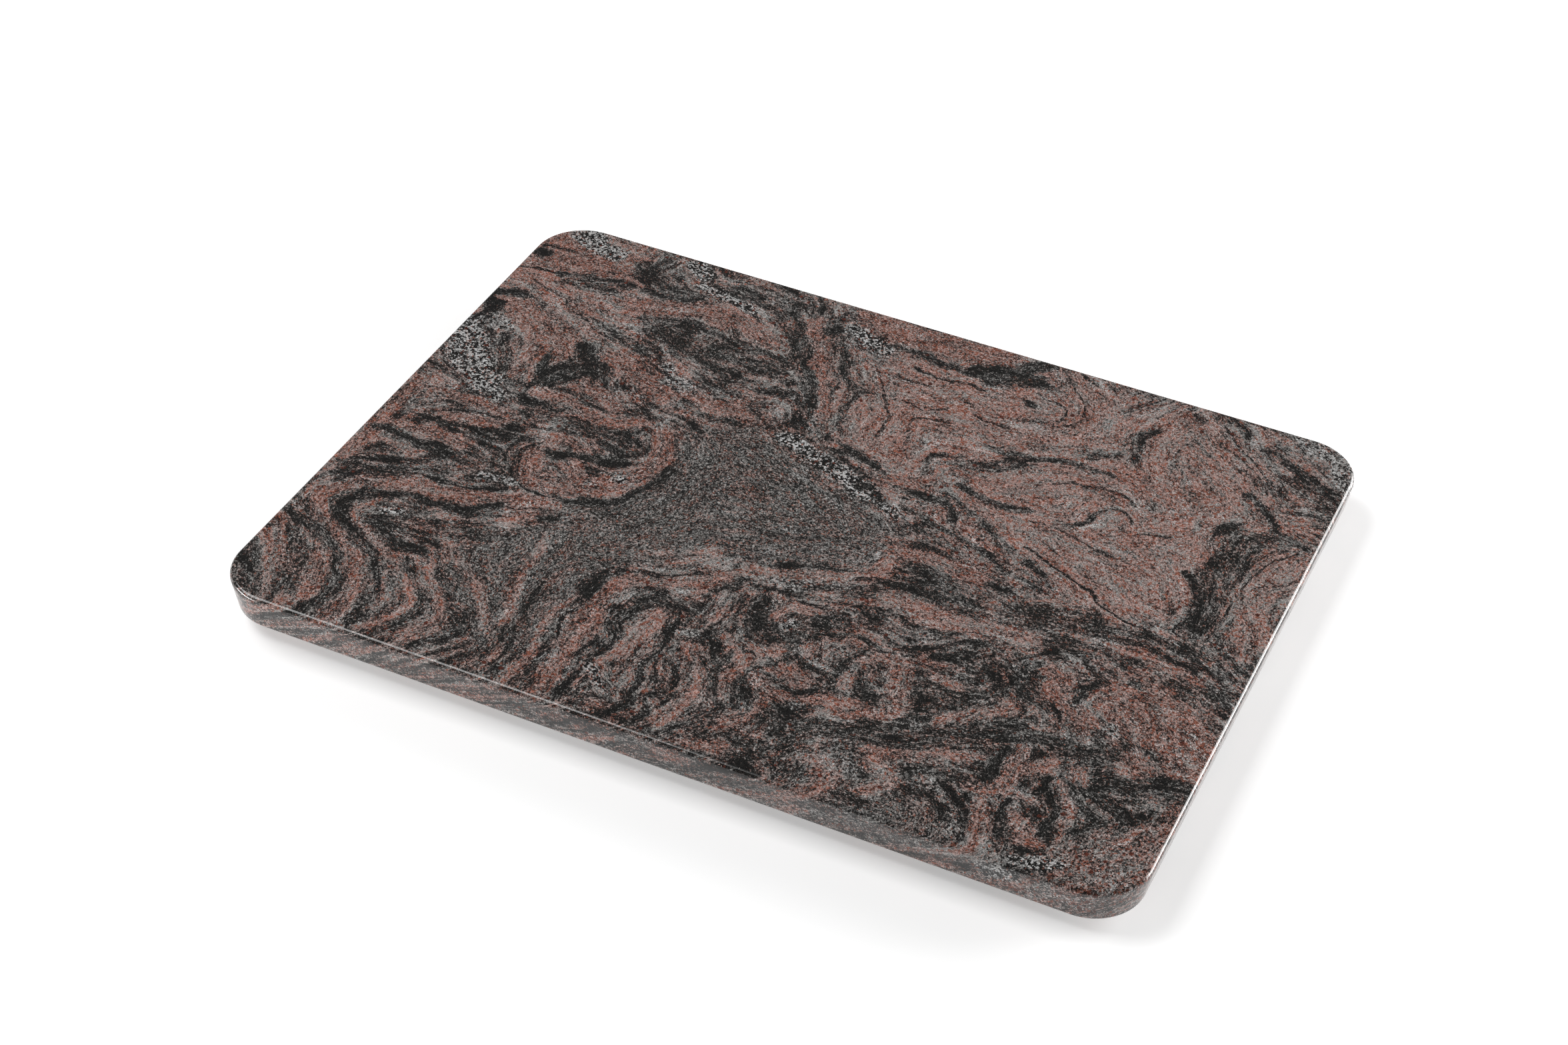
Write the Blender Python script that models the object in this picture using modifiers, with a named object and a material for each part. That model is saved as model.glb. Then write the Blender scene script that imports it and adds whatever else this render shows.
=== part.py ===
"""Granite slab for tooling leather on: one polished stone slab that stands on four rubber feet.

Each foot is stuck to the slab's underside with its own adhesive disc. Metres, +Z up, with the origin at
the middle of the footprint, on the bench. X runs along the slab's long side.
"""
import bmesh
import bpy
from math import atan, cos, pi, radians, sin, tan

# Stone slab
SLAB_LENGTH = 0.400          # overall, across the widest line of the walls
SLAB_WIDTH = 0.300
SLAB_THICKNESS = 0.017
CORNER_RADIUS = 0.024        # of the outline, at the top
WALL_UNDERCUT = 0.0027       # how far the walls lean in on their way down
ARRIS_RADIUS = 0.0020        # of the eased edges round the top and the underside

# Rubber feet, wider where they are stuck on
FOOT_TOP_DIAMETER = 0.020
FOOT_BASE_DIAMETER = 0.017
FOOT_HEIGHT = 0.005
FOOT_RIM_RADIUS = 0.0009     # of the rounded edge that meets the bench
FOOT_INSET_X = 0.032         # from the underside's short edge to the foot's axis
FOOT_INSET_Y = 0.032         # from the underside's long edge to the foot's axis

# Adhesive discs between the feet and the stone
DISC_THICKNESS = 0.0008
DISC_SETBACK = 0.0010        # how far the disc stops short of the foot's edge

SEAT_GAP = 0.0003            # between pieces that touch

# Facets
CORNER_SEGMENTS = 12
ARRIS_SEGMENTS = 4
ROUND_STEPS = 40
RIM_SEGMENTS = 4
ARRIS_ANGLE = radians(50)    # sharper edges than this are eased
MERGE_DISTANCE = 0.00001

# The walls' lean, and what the eased edge takes off each side of a box with such walls
WALL_LEAN = atan(WALL_UNDERCUT / SLAB_THICKNESS)
EASING_LOSS = ARRIS_RADIUS * (tan(pi / 4 + WALL_LEAN / 2) - 1)
BOX_LENGTH = SLAB_LENGTH + 2 * EASING_LOSS
BOX_WIDTH = SLAB_WIDTH + 2 * EASING_LOSS
UNDERSIDE_LENGTH = BOX_LENGTH - 2 * WALL_UNDERCUT
UNDERSIDE_WIDTH = BOX_WIDTH - 2 * WALL_UNDERCUT

# Heights that follow from the sizes above
DISC_BOTTOM = FOOT_HEIGHT + SEAT_GAP
SLAB_BOTTOM = DISC_BOTTOM + DISC_THICKNESS + SEAT_GAP

# Which way each foot lies from the middle of the slab
FOOT_PLACES = {
    "front_left": (-1, -1),
    "front_right": (1, -1),
    "back_left": (-1, 1),
    "back_right": (1, 1),
}


def clear_scene():
    """Removes whatever the scene holds."""
    for old in list(bpy.data.objects):
        bpy.data.objects.remove(old, do_unlink=True)


def new_collection(name):
    """Makes a collection in the scene and returns it."""
    collection = bpy.data.collections.new(name)
    bpy.context.scene.collection.children.link(collection)
    return collection


def principled(name, color, roughness):
    """Makes a plain non-metallic material."""
    material = bpy.data.materials.new(name)
    material.use_nodes = True
    shader = material.node_tree.nodes["Principled BSDF"]
    shader.inputs["Base Color"].default_value = (*color, 1.0)
    shader.inputs["Roughness"].default_value = roughness
    shader.inputs["Metallic"].default_value = 0.0
    return material


def add_part(name, mesh, material, collection, location):
    """Makes one named object from a mesh and puts it in its place."""
    part = bpy.data.objects.new(name, mesh)
    part.location = location
    collection.objects.link(part)
    if not mesh.materials:
        mesh.materials.append(material)
    return part


def add_bevel(part, name, width, segments):
    """Adds a round bevel, whose edges the caller chooses."""
    bevel = part.modifiers.new(name, "BEVEL")
    bevel.width = width
    bevel.segments = segments
    bevel.harden_normals = True
    return bevel


def slab_mesh():
    """A box with its underside drawn in, whose four upright edges are marked for the corner bevel."""
    bm = bmesh.new()
    bmesh.ops.create_cube(bm, size=1.0)
    bmesh.ops.scale(bm, vec=(BOX_LENGTH, BOX_WIDTH, SLAB_THICKNESS), verts=bm.verts)
    underside = [vert for vert in bm.verts if vert.co.z < 0]
    draw_in = (UNDERSIDE_LENGTH / BOX_LENGTH, UNDERSIDE_WIDTH / BOX_WIDTH, 1)
    bmesh.ops.scale(bm, vec=draw_in, verts=underside)
    weight = bm.edges.layers.float.new("bevel_weight_edge")
    for edge in bm.edges:
        low, high = sorted(vert.co.z for vert in edge.verts)
        if high - low > SLAB_THICKNESS / 2:
            edge[weight] = 1.0
    mesh = bpy.data.meshes.new("granite_slab")
    bm.to_mesh(mesh)
    bm.free()
    mesh.shade_smooth()
    return mesh


def add_slab(material, collection):
    """The stone: rounded corners in plan, then eased edges along the top and the underside."""
    middle = (0, 0, SLAB_BOTTOM + SLAB_THICKNESS / 2)
    slab = add_part("granite_slab", slab_mesh(), material, collection, middle)
    corners = add_bevel(slab, "rounded corners", CORNER_RADIUS, CORNER_SEGMENTS)
    corners.limit_method = "WEIGHT"
    arris = add_bevel(slab, "eased edges", ARRIS_RADIUS, ARRIS_SEGMENTS)
    arris.limit_method = "ANGLE"
    arris.angle_limit = ARRIS_ANGLE
    return slab


def turned_mesh(name, profile):
    """An open outline of (radius, height) points, from the axis at the top round to the axis below."""
    mesh = bpy.data.meshes.new(name)
    points = [(radius, 0, height) for radius, height in profile]
    edges = [(i, i + 1) for i in range(len(points) - 1)]
    mesh.from_pydata(points, edges, [])
    return mesh


def add_turned(name, mesh, material, collection, location):
    """Turns an outline about its upright axis into a closed round piece."""
    part = add_part(name, mesh, material, collection, location)
    screw = part.modifiers.new("turned", "SCREW")
    screw.axis = "Z"
    screw.steps = ROUND_STEPS
    screw.render_steps = ROUND_STEPS
    screw.use_merge_vertices = True
    screw.merge_threshold = MERGE_DISTANCE
    screw.use_smooth_shade = True
    return part


def foot_mesh():
    """A moulded bumper: a cone's slice with a rounded edge at the bench."""
    top_radius = FOOT_TOP_DIAMETER / 2
    base_radius = FOOT_BASE_DIAMETER / 2
    profile = [(0, FOOT_HEIGHT), (top_radius, FOOT_HEIGHT)]
    for i in range(RIM_SEGMENTS + 1):
        turn = pi / 2 * i / RIM_SEGMENTS
        radius = base_radius - FOOT_RIM_RADIUS * (1 - cos(turn))
        height = FOOT_RIM_RADIUS * (1 - sin(turn))
        profile.append((radius, height))
    profile.append((0, 0))
    return turned_mesh("rubber_foot", profile)


def disc_mesh():
    """A flat round disc, a little smaller than the foot that it holds."""
    radius = FOOT_TOP_DIAMETER / 2 - DISC_SETBACK
    profile = [(0, DISC_THICKNESS), (radius, DISC_THICKNESS), (radius, 0), (0, 0)]
    return turned_mesh("adhesive_disc", profile)


def foot_axis(side_x, side_y):
    """Where a foot's axis stands, measured in from the edges of the underside."""
    return side_x * (UNDERSIDE_LENGTH / 2 - FOOT_INSET_X), side_y * (UNDERSIDE_WIDTH / 2 - FOOT_INSET_Y)


def main():
    """Builds the slab, then a foot and its adhesive disc near each corner."""
    clear_scene()
    parts = new_collection("granite_slab")
    stone = principled("polished_granite", (0.20, 0.17, 0.165), 0.14)
    rubber = principled("foot_rubber", (0.025, 0.025, 0.027), 0.75)
    adhesive = principled("adhesive", (0.62, 0.61, 0.57), 0.55)

    add_slab(stone, parts)
    foot = foot_mesh()
    disc = disc_mesh()
    for place, sides in FOOT_PLACES.items():
        x, y = foot_axis(*sides)
        add_turned("rubber_foot_" + place, foot, rubber, parts, (x, y, 0))
        add_turned("adhesive_disc_" + place, disc, adhesive, parts, (x, y, DISC_BOTTOM))


main()
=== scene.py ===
"""Looks of the granite slab: polished folded gneiss on four rubber feet, in soft studio light.

Everything is in metres in the CAD frame, except the stone's bands. They are drawn in millimetres from the
middle of the top face, x to the right and y to the back, and are worked on in centimetres.
"""
from math import cos, pi, radians, sin

import bpy
import numpy as np
from mathutils import Matrix, Vector


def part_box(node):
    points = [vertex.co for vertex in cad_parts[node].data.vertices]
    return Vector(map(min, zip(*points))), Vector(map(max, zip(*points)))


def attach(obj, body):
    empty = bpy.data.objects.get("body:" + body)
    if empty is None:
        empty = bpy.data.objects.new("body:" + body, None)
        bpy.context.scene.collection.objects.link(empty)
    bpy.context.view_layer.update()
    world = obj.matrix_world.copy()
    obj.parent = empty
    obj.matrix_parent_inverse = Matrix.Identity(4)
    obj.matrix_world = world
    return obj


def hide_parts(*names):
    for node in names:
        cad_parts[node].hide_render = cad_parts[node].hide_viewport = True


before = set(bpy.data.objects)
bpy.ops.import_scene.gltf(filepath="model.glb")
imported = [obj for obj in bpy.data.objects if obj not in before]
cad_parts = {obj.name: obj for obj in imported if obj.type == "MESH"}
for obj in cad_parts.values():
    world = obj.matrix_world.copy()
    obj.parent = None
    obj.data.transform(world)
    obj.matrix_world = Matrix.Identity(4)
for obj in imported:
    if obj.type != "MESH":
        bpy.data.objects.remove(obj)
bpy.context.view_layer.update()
FOOT_PLACES = ("front_left", "front_right", "back_left", "back_right")

# ---------------------------------------------------------------- the stone's sizes, from the frame

SLAB_LOW, SLAB_HIGH = (Vector(corner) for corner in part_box("granite_slab"))
LENGTH = SLAB_HIGH.x - SLAB_LOW.x
WIDTH = SLAB_HIGH.y - SLAB_LOW.y
TOP = SLAB_HIGH.z
BOTTOM = SLAB_LOW.z
SKIN = 0.0001                # the stone's skin stays this far inside the CAD box
HALF_X = LENGTH / 2 - SKIN
HALF_Y = WIDTH / 2 - SKIN
FACE_TOP = TOP - SKIN
FACE_BOTTOM = BOTTOM + SKIN

CORNER_RADIUS = 0.024        # of the outline
ARRIS_RADIUS = 0.0021        # of the eased edges
WALL_UNDERCUT = 0.0027       # how far the walls lean in on their way down
WALL_LEAN = WALL_UNDERCUT / (TOP - BOTTOM)

# ---------------------------------------------------------------- the stone's bands

# How much black mica, pink feldspar and white quartz a kind of band holds, how strongly it is streaked
# along its grain, and how many large dark red garnets it carries. Between the bands the stone is plain.
KINDS = {
    "plain": (0.57, 0.43, 0.05, 0.75, 0.20),
    "even": (0.58, 0.26, 0.04, 0.12, 0.00),
    "dusk": (0.70, 0.36, 0.04, 0.65, 0.05),
    "dark": (0.77, 0.22, 0.02, 0.50, 0.00),
    "black": (0.96, 0.10, 0.00, 0.40, 0.00),
    "salmon": (0.25, 0.66, 0.06, 0.42, 0.12),
    "pink": (0.37, 0.84, 0.07, 0.34, 0.25),
    "rust": (0.38, 0.94, 0.03, 0.32, 0.35),
    "pale": (0.44, 0.10, 0.55, 0.30, 0.00),
    "quartz": (0.64, 0.04, 1.00, 0.10, 0.60),
    "garnet": (0.40, 0.58, 0.20, 0.15, 1.00),
}

# Each band: kind, half its width, and the points that its middle passes through, in mm. Later bands lie
# on earlier ones.
BANDS_MM = [
    # wide regions
    ("salmon", 50.0, (25, 95), (80, 98), (140, 80)),
    ("salmon", 38.0, (80, 60), (130, 30)),
    ("salmon", 32.0, (-180, 130), (-150, 100), (-185, 95)),
    ("salmon", 22.0, (10, 65), (50, 60)),
    ("even", 33.0, (-38, -6), (10, -9)),
    ("even", 26.0, (-65, -46), (-90, -76), (-80, -105)),
    ("even", 16.0, (-60, 30), (-24, 20), (15, 6)),
    ("dusk", 12.0, (50, -18), (95, -18), (126, -16)),
    ("dusk", 24.0, (15, -75), (30, -100), (20, -130)),
    ("dusk", 26.0, (105, -56), (90, -105), (130, -105)),
    ("even", 18.0, (75, -134), (110, -142)),
    ("dusk", 14.0, (-142, -10), (-136, -34)),
    ("dusk", 20.0, (-125, 20), (-110, 6)),
    ("dusk", 24.0, (-175, -50), (-155, -70)),
    # back left
    ("rust", 13.0, (-192, 132), (-176, 122), (-152, 126)),
    ("quartz", 6.2, (-185, 146), (-174, 139), (-164, 134)),
    ("black", 1.0, (-198, 128), (-180, 128)),
    ("black", 3.0, (-196, 123), (-191, 122)),
    ("dusk", 5.0, (-136, 143), (-140, 131)),
    ("dusk", 8.5, (-142, 130), (-130, 124), (-115, 121)),
    ("dark", 3.0, (-141, 126), (-130, 121), (-116, 124)),
    ("black", 2.6, (-137, 115), (-124, 116), (-112, 119)),
    ("dark", 3.4, (-177, 109), (-164, 113), (-145, 115)),
    ("dusk", 3.4, (-173, 107), (-150, 106)),
    ("black", 1.0, (-199, 105), (-186, 109), (-177, 109)),
    ("quartz", 4.2, (-125, 146), (-116, 138)),
    ("dark", 4.6, (-112, 133), (-89, 133), (-72, 128), (-60, 121)),
    ("quartz", 3.2, (-113, 131), (-96, 127), (-85, 123)),
    ("pink", 7.0, (-134, 102), (-110, 110), (-82, 112), (-68, 106)),
    ("dark", 3.4, (-129, 96), (-106, 101), (-85, 95), (-66, 97)),
    ("black", 1.0, (-88, 107), (-81, 100), (-70, 98)),
    ("dusk", 10.5, (-116, 93), (-96, 88), (-76, 87), (-58, 89)),
    ("dark", 4.2, (-116, 90), (-98, 84), (-76, 86)),
    ("dark", 3.8, (-92, 79), (-64, 71), (-46, 74)),
    ("black", 4.2, (-202, 85), (-187, 86), (-175, 82)),
    ("black", 5.6, (-199, 80), (-192, 72), (-194, 62)),
    ("pink", 9.5, (-180, 75), (-164, 69), (-148, 59)),
    ("dark", 1.5, (-187, 100), (-162, 89), (-136, 79), (-120, 77)),
    ("dark", 1.5, (-168, 91), (-149, 81), (-132, 73)),
    ("dark", 3.0, (-144, 82), (-123, 75), (-111, 68)),
    ("black", 1.2, (-116, 70), (-104, 65), (-93, 61)),
    ("pink", 9.0, (-124, 62), (-98, 56), (-78, 45), (-62, 49)),
    ("pale", 4.5, (-94, 59), (-87, 56)),
    ("quartz", 2.4, (-101, 68), (-98, 66)),
    ("quartz", 9.5, (-201, 54), (-190, 44), (-180, 32), (-168, 22)),
    ("quartz", 5.0, (-169, 22), (-157, 14)),
    ("pale", 5.0, (-189, 64), (-182, 61)),
    ("dark", 4.2, (-176, 54), (-171, 42), (-166, 32)),
    ("dark", 2.8, (-192, 19), (-182, 16)),
    ("black", 5.5, (-141, 64), (-134, 54), (-130, 49)),
    ("black", 6.0, (-131, 50), (-142, 39), (-146, 27)),
    ("black", 2.6, (-152, 49), (-150, 41), (-147, 34)),
    ("black", 1.6, (-149, 23), (-136, 19)),
    ("pink", 5.0, (-159, 46), (-157, 32)),
    ("dark", 2.6, (-126, 54), (-114, 41), (-102, 31)),
    ("pink", 5.5, (-129, 36), (-114, 35), (-106, 29)),
    ("pink", 4.0, (-143, 24), (-129, 24), (-114, 19), (-94, 23)),
    ("dark", 1.4, (-131, 12), (-117, 15), (-103, 13)),
    ("dark", 1.4, (-124, 27), (-110, 26), (-98, 30), (-90, 26)),
    ("black", 2.0, (-80, 36), (-74, 36), (-68, 32)),
    ("dark", 2.4, (-83, 46), (-70, 42), (-56, 44)),
    # the diagonal dark band and what runs beside it
    ("dark", 6.2, (-66, 126), (-57, 114), (-49, 99), (-38, 81), (-26, 64)),
    ("black", 2.4, (-52, 102), (-41, 88), (-31, 72), (-21, 56)),
    ("black", 1.3, (-40, 74), (-32, 66), (-24, 60)),
    ("pink", 4.0, (-54, 129), (-47, 112), (-38, 95), (-24, 71), (-19, 58)),
    ("black", 1.8, (-49, 124), (-44, 128)),
    ("dark", 3.0, (-38, 117), (-29, 102), (-18, 84), (-14, 66)),
    ("black", 2.2, (-17, 92), (-14, 90)),
    ("dark", 1.4, (-10, 102), (-3, 89), (2, 79), (5, 64)),
    ("quartz", 6.2, (-35, 132), (-29, 127), (-21, 124)),
    ("rust", 9.0, (-34, 145), (-12, 139), (12, 141), (36, 142)),
    # back middle
    ("black", 5.8, (24, 128), (34, 130), (46, 131), (53, 133)),
    ("dark", 6.0, (45, 140), (53, 148)),
    ("black", 1.8, (-16, 129), (0, 128), (18, 125), (30, 123), (42, 125)),
    ("black", 1.2, (-2, 117), (10, 115), (32, 116)),
    ("dark", 1.0, (-6, 108), (9, 107)),
    ("black", 2.2, (53, 115), (55, 115)),
    ("dark", 1.5, (62, 146), (70, 133), (79, 122), (76, 110), (58, 102)),
    ("dark", 1.2, (56, 124), (69, 119), (71, 110), (63, 106)),
    ("dark", 1.5, (68, 148), (77, 141)),
    ("dark", 1.5, (100, 136), (108, 148)),
    ("dusk", 3.0, (111, 123), (108, 113), (111, 100)),
    ("dusk", 3.5, (88, 93), (101, 98)),
    ("dark", 1.2, (4, 94), (14, 92), (24, 95)),
    ("dark", 1.0, (36, 96), (44, 94), (54, 95)),
    ("dark", 1.5, (14, 72), (13, 82), (20, 85), (29, 86)),
    ("dark", 2.4, (51, 79), (70, 80), (89, 85), (105, 84)),
    ("dusk", 4.2, (33, 50), (33, 60), (42, 65), (57, 68), (64, 75)),
    ("dark", 1.0, (32, 51), (32, 60), (38, 64)),
    ("dark", 1.3, (86, 68), (94, 72), (110, 74), (121, 68)),
    ("dark", 2.6, (96, 45), (104, 47), (107, 55)),
    ("dark", 1.4, (107, 55), (110, 62), (119, 63), (124, 57)),
    ("dark", 1.3, (84, 39), (98, 39), (112, 35), (124, 34)),
    ("dusk", 3.0, (50, 49), (64, 45), (82, 45)),
    ("dark", 1.5, (130, 51), (141, 56)),
    # back right
    ("pale", 9.5, (174, 149), (190, 141), (200, 128)),
    ("dusk", 7.0, (176, 116), (200, 106)),
    ("black", 1.6, (170, 128), (185, 121), (200, 113)),
    ("dark", 1.5, (137, 140), (152, 126), (170, 108), (173, 104)),
    ("dark", 1.2, (140, 129), (159, 115), (169, 103)),
    ("black", 2.0, (162, 99), (171, 91), (179, 85), (182, 79), (194, 76)),
    ("dark", 1.6, (182, 96), (190, 98), (200, 99)),
    ("dark", 6.2, (169, 73), (186, 74)),
    ("dusk", 8.0, (169, 70), (168, 54), (170, 40)),
    ("dark", 3.4, (165, 66), (164, 54), (169, 44)),
    ("dark", 7.8, (165, 37), (168, 24), (168, 6)),
    ("black", 1.6, (165, 78), (159, 70), (160, 60), (163, 52)),
    ("black", 2.2, (156, 38), (161, 29), (166, 21)),
    ("salmon", 9.0, (193, 60), (186, 32), (192, 12)),
    ("dark", 1.2, (184, 70), (178, 59), (176, 47), (175, 36), (179, 26), (177, 12)),
    ("dark", 1.2, (192, 71), (183, 58), (180, 42), (182, 30)),
    ("dark", 1.5, (200, 59), (192, 49), (185, 42)),
    # the quartz streak and the slanting streaks past it
    ("quartz", 4.4, (-32, 45), (-15, 38), (0, 32)),
    ("quartz", 4.8, (-4, 34), (14, 27), (31, 18)),
    ("black", 2.2, (11, 30), (16, 29)),
    ("black", 2.6, (21, 25), (25, 24)),
    ("black", 3.0, (-6, 49), (1, 47), (17, 43)),
    ("garnet", 9.0, (36, 40), (54, 26), (74, 9)),
    ("black", 3.0, (32, 34), (42, 36), (52, 31), (56, 27)),
    ("dark", 2.0, (45, 42), (71, 28), (89, 15), (98, 11)),
    ("dark", 2.0, (46, 20), (66, 15), (84, 7)),
    ("black", 2.4, (93, 14), (102, 11)),
    ("black", 1.5, (90, 22), (110, 16), (122, 10), (134, 1), (150, -3)),
    # right, below the salmon
    ("pink", 4.2, (42, -3), (58, -3), (80, -5)),
    ("salmon", 5.0, (42, -12), (38, -23), (19, -32), (0, -39)),
    ("dark", 1.2, (54, -12), (79, -15), (108, -15), (128, -12)),
    ("dark", 1.7, (128, -12), (153, -8), (174, -11), (194, -19)),
    ("dark", 1.2, (46, -8), (74, -9), (96, -10), (120, -7)),
    ("dark", 1.6, (90, -20), (116, -19), (138, -15), (160, -15), (184, -21)),
    ("salmon", 1.7, (130, -19), (154, -18), (174, -20)),
    ("dark", 2.4, (62, -23), (76, -21), (89, -19)),
    ("black", 1.2, (90, -12), (120, -11), (146, -7), (170, -9)),
    ("black", 1.6, (-4, -37), (14, -30), (31, -24)),
    ("black", 1.4, (36, -29), (43, -24), (57, -22)),
    ("salmon", 6.0, (54, -33), (71, -35), (90, -33), (110, -30)),
    ("dark", 1.4, (146, -21), (172, -26), (200, -33)),
    ("dark", 1.4, (146, -16), (170, -19), (196, -26)),
    ("pink", 2.2, (162, -22), (183, -23)),
    ("dark", 3.6, (189, -25), (196, -30)),
    ("pink", 15.5, (160, -46), (176, -53), (192, -62)),
    ("dusk", 4.5, (112, -48), (124, -58), (139, -65), (141, -72)),
    ("dark", 3.4, (122, -41), (118, -46), (119, -56)),
    ("pink", 4.6, (127, -43), (134, -46), (132, -54), (143, -60), (151, -68)),
    ("black", 1.3, (145, -37), (150, -40)),
    ("black", 2.2, (146, -42), (141, -47), (141, -55)),
    ("pale", 2.4, (159, -64), (162, -67)),
    ("dark", 2.4, (154, -68), (158, -71)),
    ("dark", 5.5, (132, -83), (150, -82), (166, -77)),
    ("rust", 4.2, (171, -76), (179, -82)),
    # the swirls along the front, right half
    ("dark", 7.5, (166, -96), (184, -90), (200, -87)),
    ("dark", 9.0, (164, -106), (178, -112), (172, -122)),
    ("rust", 5.0, (200, -99), (195, -110)),
    ("garnet", 15.0, (194, -126), (178, -135), (188, -144)),
    ("quartz", 3.8, (152, -147), (166, -141)),
    ("rust", 4.0, (153, -134), (157, -134)),
    ("dark", 2.2, (150, -92), (155, -98)),
    ("salmon", 2.8, (158, -92), (159, -96)),
    ("salmon", 2.0, (148, -91), (147, -97)),
    ("black", 1.6, (149, -99), (149, -109)),
    ("salmon", 2.0, (152, -101), (158, -109), (162, -115), (163, -126)),
    ("black", 2.2, (152, -110), (158, -117), (158, -126)),
    ("pink", 4.6, (133, -91), (135, -102), (133, -113), (124, -118)),
    ("pink", 3.0, (128, -122), (133, -130), (132, -136), (135, -148)),
    ("salmon", 2.4, (138, -113), (147, -116)),
    ("black", 2.6, (125, -101), (127, -111)),
    ("dark", 2.0, (111, -109), (123, -108)),
    ("dark", 4.2, (102, -117), (119, -114)),
    ("black", 2.4, (111, -121), (120, -124), (124, -128)),
    ("pale", 2.2, (108, -122), (115, -129), (122, -135), (126, -143)),
    ("black", 2.0, (101, -128), (110, -129), (117, -133), (120, -139)),
    ("black", 2.2, (127, -131), (128, -143)),
    ("dark", 2.8, (139, -120), (138, -129)),
    ("dark", 3.8, (143, -135), (146, -144)),
    ("salmon", 4.5, (84, -122), (92, -128), (86, -136)),
    ("pink", 3.4, (82, -119), (93, -114), (105, -108), (118, -102)),
    ("dark", 2.0, (96, -122), (100, -120)),
    ("dark", 2.2, (52, -120), (62, -113), (72, -107), (82, -99), (96, -95), (122, -88)),
    ("dark", 1.3, (64, -118), (74, -114), (89, -110), (102, -102)),
    ("black", 2.6, (84, -95), (89, -92)),
    ("salmon", 3.4, (98, -91), (105, -84), (112, -78), (121, -72), (120, -68)),
    ("dark", 2.6, (92, -84), (99, -81)),
    ("dark", 3.4, (100, -76), (108, -72), (112, -68)),
    ("dark", 2.0, (118, -78), (128, -77)),
    ("dark", 2.4, (121, -88), (129, -85)),
    ("pink", 2.4, (80, -59), (94, -58)),
    ("salmon", 2.2, (88, -68), (98, -68)),
    # the knots and short bands in the middle of the front
    ("pink", 4.8, (75, -72), (76, -84), (80, -93)),
    ("pink", 3.4, (80, -93), (72, -98), (64, -104), (53, -101), (42, -106), (30, -106), (24, -100)),
    ("pink", 4.8, (33, -91), (39, -93)),
    ("rust", 1.6, (26, -94), (36, -95)),
    ("black", 1.7, (38, -102), (43, -102), (49, -97)),
    ("dark", 2.0, (54, -92), (59, -93)),
    ("dark", 2.6, (63, -83), (65, -89), (69, -88)),
    ("dark", 2.2, (53, -70), (51, -76), (52, -80), (50, -87), (51, -94)),
    ("salmon", 3.0, (57, -82), (58, -88)),
    ("dark", 1.7, (66, -75), (70, -79)),
    ("dark", 2.2, (82, -77), (95, -73)),
    ("dark", 2.0, (83, -80), (86, -86), (83, -89)),
    ("pale", 3.0, (41, -81), (46, -82)),
    ("salmon", 2.8, (37, -73), (39, -78)),
    ("dark", 1.8, (24, -74), (30, -76), (28, -80), (32, -86)),
    ("dark", 1.6, (23, -86), (27, -89), (24, -92)),
    ("salmon", 2.2, (15, -84), (23, -84), (26, -80)),
    ("dark", 2.0, (13, -71), (16, -77), (20, -77)),
    ("dark", 1.8, (11, -87), (15, -87)),
    ("dark", 2.0, (12, -54), (12, -59), (10, -65), (15, -69), (18, -67)),
    ("salmon", 3.0, (15, -62), (19, -56), (29, -54)),
    ("quartz", 2.2, (21, -67), (23, -65)),
    ("dark", 3.4, (32, -56), (40, -55)),
    ("dark", 2.2, (33, -62), (37, -61)),
    ("dark", 1.3, (41, -64), (49, -61), (59, -62)),
    ("dark", 1.4, (20, -52), (28, -51), (38, -49), (52, -47)),
    ("dark", 1.5, (47, -51), (60, -54), (72, -56), (79, -51)),
    ("black", 2.2, (82, -56), (88, -54), (93, -54)),
    ("dark", 1.5, (87, -51), (92, -47)),
    ("dark", 1.8, (86, -64), (100, -64)),
    ("salmon", 3.0, (62, -67), (74, -65)),
    ("pale", 3.0, (6, -44), (19, -41)),
    ("salmon", 3.4, (4, -84), (8, -88)),
    ("dark", 1.5, (1, -79), (0, -86), (1, -94), (8, -100)),
    ("dark", 2.0, (9, -90), (9, -96)),
    ("salmon", 2.0, (-6, -72), (-6, -77)),
    ("dark", 1.6, (-10, -70), (-11, -80)),
    ("pale", 2.4, (-16, -89), (-10, -88)),
    ("salmon", 2.6, (15, -91), (16, -99), (13, -108), (18, -116)),
    ("dark", 1.7, (20, -98), (19, -103), (22, -109), (25, -114)),
    ("salmon", 4.0, (4, -109), (6, -120), (1, -139)),
    ("dark", 1.7, (9, -109), (14, -116), (18, -123), (14, -127)),
    ("pink", 2.6, (29, -110), (33, -117), (29, -125), (24, -132)),
    ("quartz", 1.2, (31, -114), (33, -115)),
    ("black", 1.5, (35, -109), (42, -113), (52, -108)),
    ("dark", 2.0, (36, -119), (35, -126)),
    ("dark", 2.4, (44, -119), (45, -123)),
    ("dark", 1.6, (52, -126), (49, -132)),
    ("dark", 1.8, (61, -130), (66, -124), (69, -121)),
    ("dark", 2.0, (72, -126), (76, -127), (78, -133)),
    ("salmon", 5.0, (64, -132), (71, -135), (69, -146)),
    ("garnet", 4.0, (68, -136), (73, -134)),
    ("dark", 1.4, (22, -134), (34, -136), (46, -134)),
    ("dark", 1.8, (5, -142), (12, -133), (16, -129)),
    ("rust", 3.6, (17, -144), (30, -142)),
    ("dusk", 2.4, (33, -144), (38, -142)),
    ("dark", 3.0, (43, -141), (47, -146)),
    ("dark", 2.2, (61, -137), (59, -146)),
    ("dark", 3.0, (82, -144), (96, -143)),
    ("dark", 2.0, (82, -132), (85, -130)),
    ("dark", 2.2, (-7, -110), (-5, -116)),
    ("dark", 1.6, (-5, -122), (-8, -132), (-4, -137), (-8, -145)),
    ("rust", 2.0, (-16, -144), (-11, -143)),
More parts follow.
